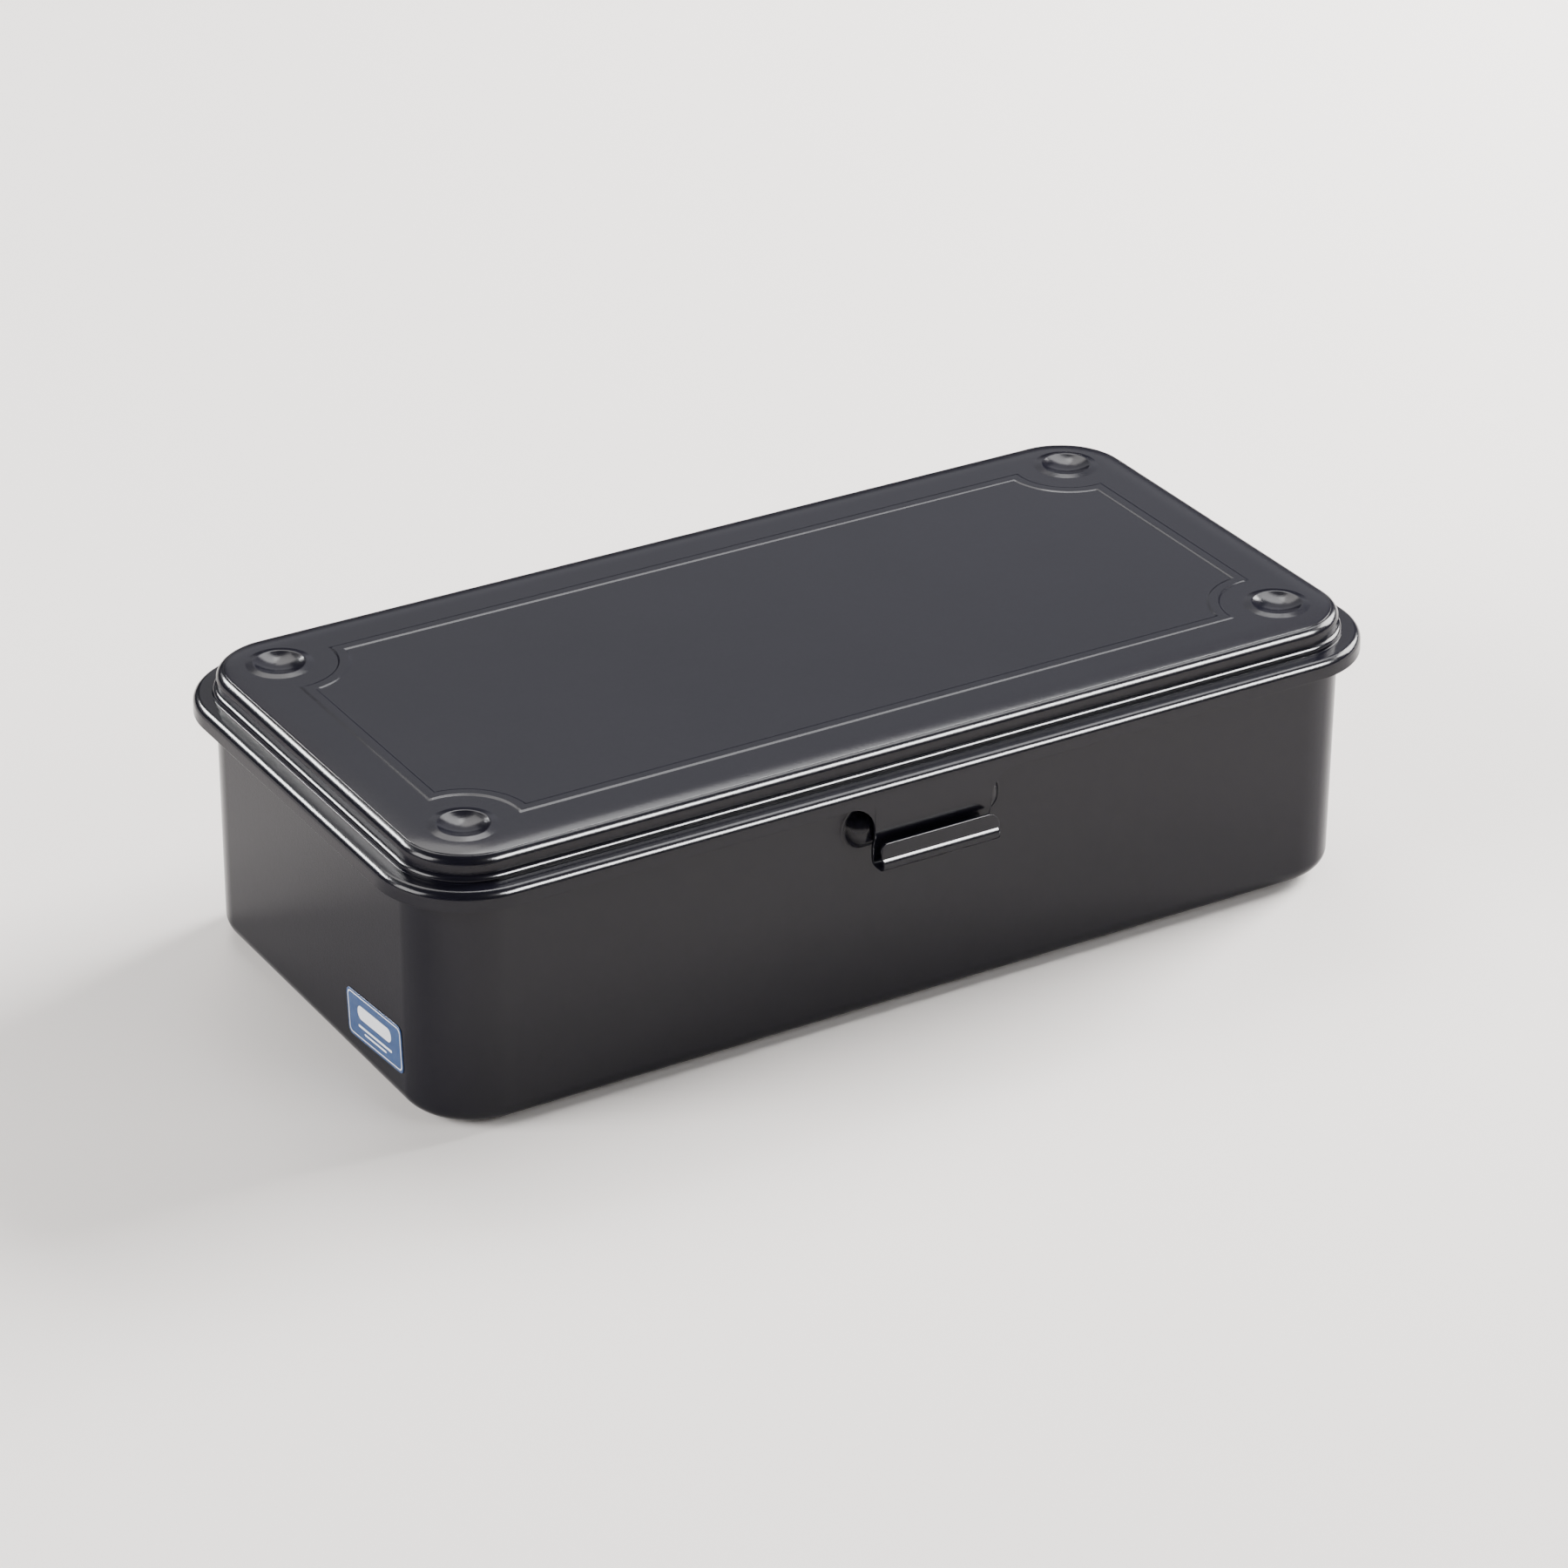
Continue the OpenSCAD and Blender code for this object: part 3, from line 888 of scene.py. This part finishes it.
def addLidKnuckles(bm):
    # a strip below the skirt on either side, rolled round the pin
    half = hinge["lidKnuckleHalf"]
    for side in (1, -1):
        middle = side * hinge["at"]
        cutAt(bm, "X", (middle - half, middle + half), onSkirt(1))

        def onEdge(spot):
            level = same(spot.z, lid["skirtZ"]) and same(spot.y, skirtHalfW)
            return level and abs(spot.x - middle) < half + near

        edges = pull(bm, edgesAt(bm, onEdge), (0, 0, pinZ - lid["skirtZ"]))
        swing(bm, edges, (0, pinY, pinZ), (1, 0, 0), -hinge["roll"], hinge["rollSteps"])


def buildLid(material):
    bm = drawSkirtToShoulder()
    top, cutsX, cutsY = drawTopEdge()
    cutAt(bm, "X", [side * cut for cut in cutsX for side in (1, -1)])
    cutAt(bm, "Y", [side * cut for cut in cutsY for side in (1, -1)])
    addTo(bm, top)
    addTo(bm, drawFraming())
    fillBetween(bm, lambda c: abs(c.z - topZ) < flatNear, (0, 0, 1))
    addTab(bm)
    addLidKnuckles(bm)
    finishPiece(bm, "lidShell", material, "lid", ["lid_shell"], sheet, lid["edge"], mostlyUp)


# the tray: drawn wall and bottom, rim flange, pressed feet and catch bead
tray = {
    "bottomRadius": 3.3,
    "flangeBend": 0.6,
    "flat": 0.4,
    "footRadius": 3.4,
    "footRim": 0.3,
    "footBend": 0.6,
    "footEdge": 0.7,
    "footSlope": 66,
    "footDrop": 1.2,
    "footStep": 8,
    "footTurnSteps": 48,
    "arcStep": 7,
    "edge": 0.1,
}
bead = {
    "z": 38.9,
    "halfLength": 16.6,
    "out": 2.9,
    "fillet": 0.7,
    "rim": 0.3,
    "slope": 66,
    "window": (18.4, 5.6),
    "arcStep": 8,
    "domeStep": 6,
    "turnSteps": 16,
}


def drawFeet():
    # a shallow pressed cup with a flat bottom, at each corner
    section = bmesh.new()
    slope = tray["footSlope"]
    bends = (tray["footBend"] + tray["footEdge"]) * (1 - cos(radians(slope)))
    straight = (tray["footDrop"] - bends) / sin(radians(slope))
    wide = tray["footBend"] + tray["footEdge"]
    start = tray["footRadius"] + wide * sin(radians(slope)) / 2 + tray["footRim"]
    moves = [(tray["footRim"], tray["footBend"], slope), (straight, tray["footEdge"], -slope)]
    tip = drawPath(section, (start, 0), 180, moves, tray["footStep"])
    bmesh.ops.extrude_vert_indiv(section, verts=[tip])["verts"][0].co.x = 0
    standUp(section)
    turnRound(section, tray["footTurnSteps"])
    shift(section, (stackX, stackY, 0))
    mirrorAll(section, "XY")
    return section


def drawBead():
    # a long ridge with round ends, drawn lying on the XY plane and then stood against the front wall
    ridge = bmesh.new()
    slope = bead["slope"]
    rise = 1 - cos(radians(slope))
    domeRadius = bead["out"] / rise - bead["fillet"]
    foot = (domeRadius + bead["fillet"]) * sin(radians(slope))
    moves = [(bead["rim"], bead["fillet"], -slope)]
    tip = drawPath(ridge, (foot + bead["rim"], 0), 180, moves, bead["arcStep"])
    closeDome(ridge, tip, 180 - slope, bead["domeStep"])
    standUp(ridge)
    swing(ridge, ridge.edges[:], (0, 0, 0), (0, 0, 1), 90, bead["turnSteps"])
    bmesh.ops.remove_doubles(ridge, verts=ridge.verts[:], dist=weldSection)
    half = bead["halfLength"] - foot
    shift(ridge, (0, half, 0))
    mirrorAll(ridge, "X")
    ends = edgesAt(ridge, lambda c: same(c.y, half))
    pull(ridge, [edge for edge in ends if edge.is_boundary], (0, -half, 0))
    mirrorAll(ridge, "Y")
    turnBy(ridge, Matrix(((0, 1, 0), (0, 0, -1), (-1, 0, 0))))
    shift(ridge, (0, -wallHalfW, bead["z"]))
    return ridge


def buildTray(material):
    bm = bmesh.new()
    flange = shell["flangeReach"] - tray["flangeBend"]
    wallTop = shell["rimHeight"] - sheet - tray["flangeBend"]
    moves = [
        (tray["flat"], tray["bottomRadius"], 90),
        (wallTop - tray["bottomRadius"], tray["flangeBend"], -90),
        (flange, 0, 0),
    ]
    drawPath(bm, (shell["cornerRadius"] - tray["bottomRadius"] - tray["flat"], 0), 0, moves, tray["arcStep"])
    standUp(bm)
    wrapAround(bm, wallHalfL, wallHalfW, shell["cornerRadius"])
    addTo(bm, drawFeet())
    fillBetween(bm, lambda c: abs(c.z) < flatNear, (0, 0, -1))
    # a window is cut in the front wall, and the bead and new flat ground fill it
    windowX, windowZ = bead["window"]
    lowZ, highZ = bead["z"] - windowZ, bead["z"] + windowZ

    def onFront(face):
        middle = face.calc_center_median()
        return same(middle.y, -wallHalfW) and tray["bottomRadius"] < middle.z < wallTop

    cutAt(bm, "X", (windowX, -windowX), onFront)
    cutAt(bm, "Z", (lowZ, highZ), onFront)
    window = []
    for face in bm.faces:
        middle = face.calc_center_median()
        if onFront(face) and abs(middle.x) < windowX and lowZ < middle.z < highZ:
            window.append(face)
    bmesh.ops.delete(bm, geom=window, context="FACES")
    addTo(bm, drawBead())
    margin = 0.01
    fillBetween(bm, lambda c: same(c.y, -wallHalfW) and abs(c.x) < windowX + margin, (0, -1, 0))
    finishPiece(
        bm, "trayShell", material, "tray", ["body_shell"], sheet, tray["edge"], mostlyDown
    )


# hinges: a leaf with two rolled knuckles and a folded stop ledge, riveted to the wall, and a pin
def buildLeaf(word, side, material):
    bm = bmesh.new()
    inner = hinge["lidKnuckleHalf"]
    finger = inner + hinge["knuckleGap"]
    outer = finger + hinge["sideKnuckle"]
    front = wallHalfW + hinge["leafSheet"]
    foot = pinZ - hinge["leafBelowPin"]
    slit = pinZ - hinge["slitBelowPin"]
    bend = hinge["bend"]
    drawPath(bm, (-outer, 0), 0, [(2 * outer, 0, 0)])
    for at in (-finger, -inner, inner, finger):
        bmesh.ops.bisect_plane(
            bm, geom=bm.verts[:] + bm.edges[:], dist=flatNear, plane_co=(at, 0, 0), plane_no=(1, 0, 0)
        )
    shift(bm, (0, front, foot))
    corners = [vert for vert in bm.verts if same(abs(vert.co.x), outer)]
    edges = pull(bm, bm.edges[:], (0, 0, slit - foot))
    bmesh.ops.bevel(
        bm, geom=corners, offset=hinge["leafCorner"], offset_type="OFFSET",
        segments=hinge["leafCornerSteps"], profile=0.5, affect="VERTICES", material=-1
    )

    def fingersOf(low, high):
        return [e for e in edges if e.is_valid and all(low - near < v.co.x < high + near for v in e.verts)]

    # the plate's upper edge goes on as two rolled knuckles with the stop ledge between them
    radius = hinge["pinRadius"] + hinge["leafSheet"]
    for low, high in ((-outer, -finger), (finger, outer)):
        top = pull(bm, fingersOf(low, high), (0, 0, pinZ - radius - bend - slit))
        top = swing(bm, top, (0, front + bend, pinZ - radius - bend), (1, 0, 0), -90, hinge["bendSteps"])
        top = pull(bm, top, (0, pinY - front - bend, 0))
        swing(bm, top, (0, pinY, pinZ), (1, 0, 0), hinge["roll"], hinge["rollSteps"])
    under = pinZ - hinge["stopTopBelowPin"] - hinge["leafSheet"]
    top = pull(bm, fingersOf(-inner, inner), (0, 0, under - bend - slit))
    top = swing(bm, top, (0, front + bend, under - bend), (1, 0, 0), -90, hinge["bendSteps"])
    pull(bm, top, (0, pinY + hinge["stopReach"] - front - bend, 0))

    def facesBack(bm):
        return sum(f.normal.y * f.calc_area() for f in bm.faces if f.calc_center_median().z < slit) > 0

    shift(bm, (side * hinge["at"], 0, 0))
    leaf = [word + "_hinge_leaf"]
    thick, edge = hinge["leafSheet"], hinge["leafEdge"]
    finishPiece(bm, word + "HingeLeaf", material, "tray", leaf, thick, edge, facesBack)


def buildPin(word, side, material):
    bm = bmesh.new()
    radius = hinge["pinRadius"]
    half = hinge["lidKnuckleHalf"] + hinge["knuckleGap"] + hinge["sideKnuckle"] + hinge["pinOverhang"]
    edge = hinge["pinEdge"]
    drawPath(bm, (0, -half), 0, [(radius - edge, edge, 90), (half - edge, 0, 0)], hinge["pinEdgeStep"])
    standUp(bm)
    turnRound(bm, hinge["pinSteps"])
    mirrorAll(bm, "Z")
    turnBy(bm, Matrix.Rotation(radians(90), 3, "Y"))
    shift(bm, (side * hinge["at"], pinY, pinZ))
    finishPiece(bm, word + "HingePin", material, "tray", [word + "_hinge_pin"])


rivet = {
    "radius": 1.7,
    "height": 0.7,
    "edge": 0.12,
    "slope": 34,
    "edgeStep": 20,
    "domeStep": 6,
    "turnSteps": 32,
}


def buildRivets(material):
    # a domed head outside each leaf and another inside the wall; the shank between them can't be seen
    bm = bmesh.new()
    across = [side * hinge["at"] + x * hinge["rivetX"] for side in (1, -1) for x in (-1, 1)]
    height = pinZ - hinge["leafBelowPin"] + hinge["rivetAbovePlate"]
    moves = [(rivet["radius"] - rivet["edge"], rivet["edge"], 180 - rivet["slope"])]
    for x in across:
        for base, way in ((wallHalfW + hinge["leafSheet"], 1), (wallHalfW - sheet, -1)):
            head = bmesh.new()
            tip = drawPath(head, (0, 0), 0, moves, rivet["edgeStep"])
            closeDome(head, tip, 180 - rivet["slope"], rivet["domeStep"])
            tall = max(vert.co.y for vert in head.verts)
            bmesh.ops.scale(head, verts=head.verts[:], vec=(1, rivet["height"] / tall, 1))
            standUp(head)
            turnRound(head, rivet["turnSteps"])
            turnBy(head, Matrix.Rotation(radians(-90 * way), 3, "X"))
            shift(head, (x, base, height))
            addTo(bm, head)
    finishPiece(bm, "hingeRivets", material, "tray", ["hinge_rivets"])


def buildLabel(material):
    bm = bmesh.new()
    bmesh.ops.create_grid(bm, x_segments=1, y_segments=1, size=0.5)
    bmesh.ops.scale(bm, verts=bm.verts[:], vec=(label["length"], label["height"], 1))
    bmesh.ops.bevel(
        bm, geom=bm.verts[:], offset=label["corner"], offset_type="OFFSET",
        segments=label["cornerSteps"], profile=0.5, affect="VERTICES", material=-1
    )
    film = labelHigh.x - labelLow.x
    raised = bmesh.ops.extrude_face_region(bm, geom=bm.faces[:])["geom"]
    bmesh.ops.translate(bm, verts=vertsOf(raised), vec=(0, 0, film))
    rim = [edge for edge in edgesOf(raised) if any(abs(face.normal.z) < 0.5 for face in edge.link_faces)]
    bmesh.ops.bevel(
        bm, geom=rim, offset=label["edge"], offset_type="OFFSET",
        segments=label["edgeSteps"], profile=0.5, affect="EDGES", material=-1
    )
    # laid against the left wall, then tilted
    turnBy(bm, Matrix.Rotation(radians(-label["tilt"]), 3, "X") @ Matrix(((0, 0, -1), (-1, 0, 0), (0, 1, 0))))
    at = Vector((labelHigh.x, labelAt.y, labelAt.z))
    finishPiece(bm, "sideLabel", material, "tray", ["side_label"], move=at)


def addFloor():
    bm = bmesh.new()
    bmesh.ops.create_grid(bm, x_segments=1, y_segments=1, size=studio["floorWidth"] / 2)
    mesh = bpy.data.meshes.new("studioFloor")
    bm.to_mesh(mesh)
    bm.free()
    mesh.materials.append(makeFloor())
    floor = bpy.data.objects.new("studioFloor", mesh)
    bpy.context.scene.collection.objects.link(floor)
    print("the floor is", studio["floorWidth"], "m wide")


addCamera()
addLamps()
addFloor()
blackPaint = makePaint()
brightSteel = makeSteel()
buildTray(blackPaint)
buildLid(blackPaint)
for hingeSide, sideWord in ((-1, "left"), (1, "right")):
    buildLeaf(sideWord, hingeSide, blackPaint)
    buildPin(sideWord, hingeSide, brightSteel)
buildRivets(brightSteel)
buildLabel(makeLabelFilm())
